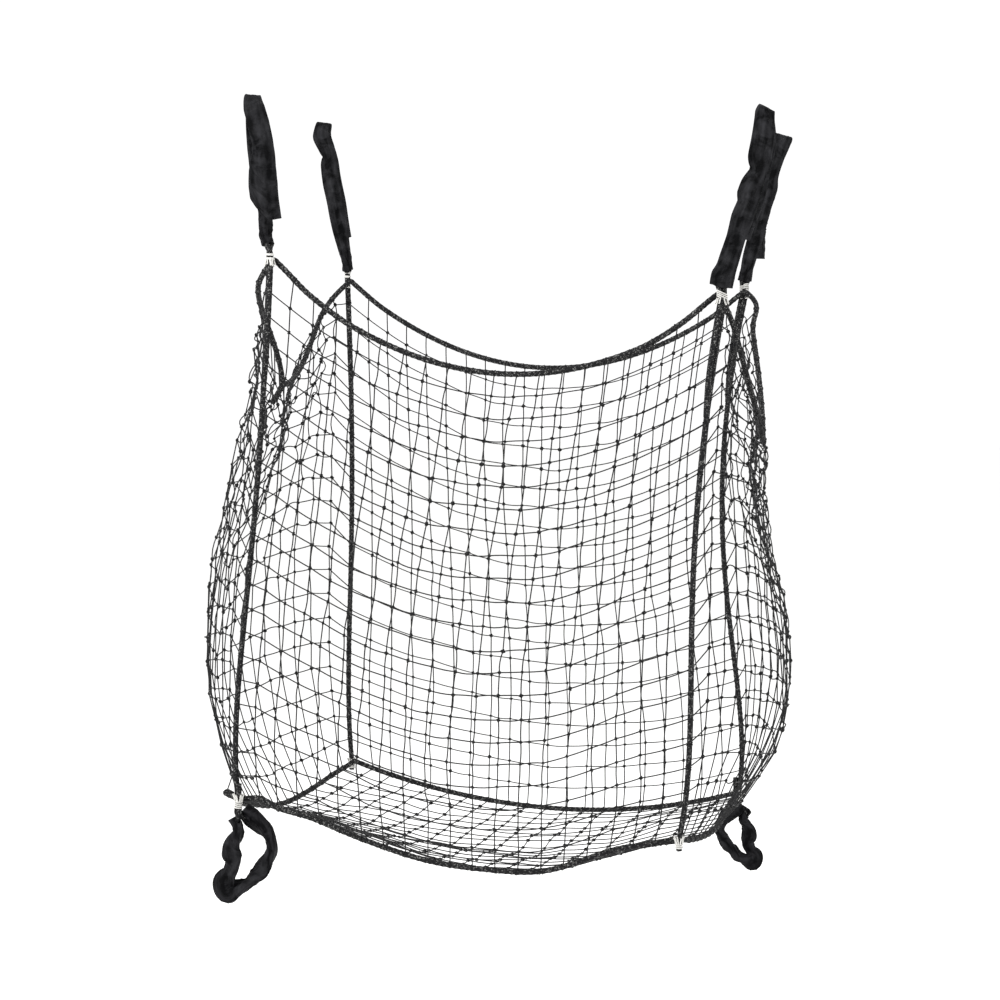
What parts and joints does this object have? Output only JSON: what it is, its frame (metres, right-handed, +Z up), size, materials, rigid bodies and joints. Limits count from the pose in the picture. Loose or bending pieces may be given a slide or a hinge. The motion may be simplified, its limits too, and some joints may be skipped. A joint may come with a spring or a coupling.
{
  "type": "mesh bulk bag",
  "caption": "Open-topped net bulk bag for firewood, full-bellied, hung in braided corner and rim ropes, with sleeved lifting loops above and sleeved tipping loops below.",
  "frame": {"origin": "the lifting level, midway between the tops of the lifting loops, where the bag hangs", "axes": "+Z up, +X to the right across the front, +Y to the rear"},
  "size_m": [1.2768, 1.2511, 1.736],
  "materials": {
    "net": "dull black polyethylene twine",
    "rope": "black braided polypropylene with pale flecks",
    "sleeve": "matt black woven cloth",
    "twine": "white lashing twine"
  },
  "bodies": {
    "root": {"net_front": "net", "net_right": "net", "net_rear": "net", "net_left": "net", "net_bottom": "net", "rim_rope_top": "rope", "rim_rope_bottom": "rope", "corner_rope_front_left": "rope", "corner_rope_front_right": "rope", "corner_rope_rear_right": "rope", "corner_rope_rear_left": "rope", "lifting_sleeve_front_left": "sleeve", "lifting_sleeve_front_right": "sleeve", "lifting_sleeve_rear_right": "sleeve", "lifting_sleeve_rear_left": "sleeve", "tipping_sleeve_front_left": "sleeve", "tipping_sleeve_rear_right": "sleeve", "lashing_top_front_left": "twine", "lashing_top_front_right": "twine", "lashing_top_rear_right": "twine", "lashing_top_rear_left": "twine", "lashing_bottom_front_left": "twine", "lashing_bottom_front_right": "twine", "lashing_bottom_rear_right": "twine", "lashing_bottom_rear_left": "twine"}
  },
  "joints": []
}
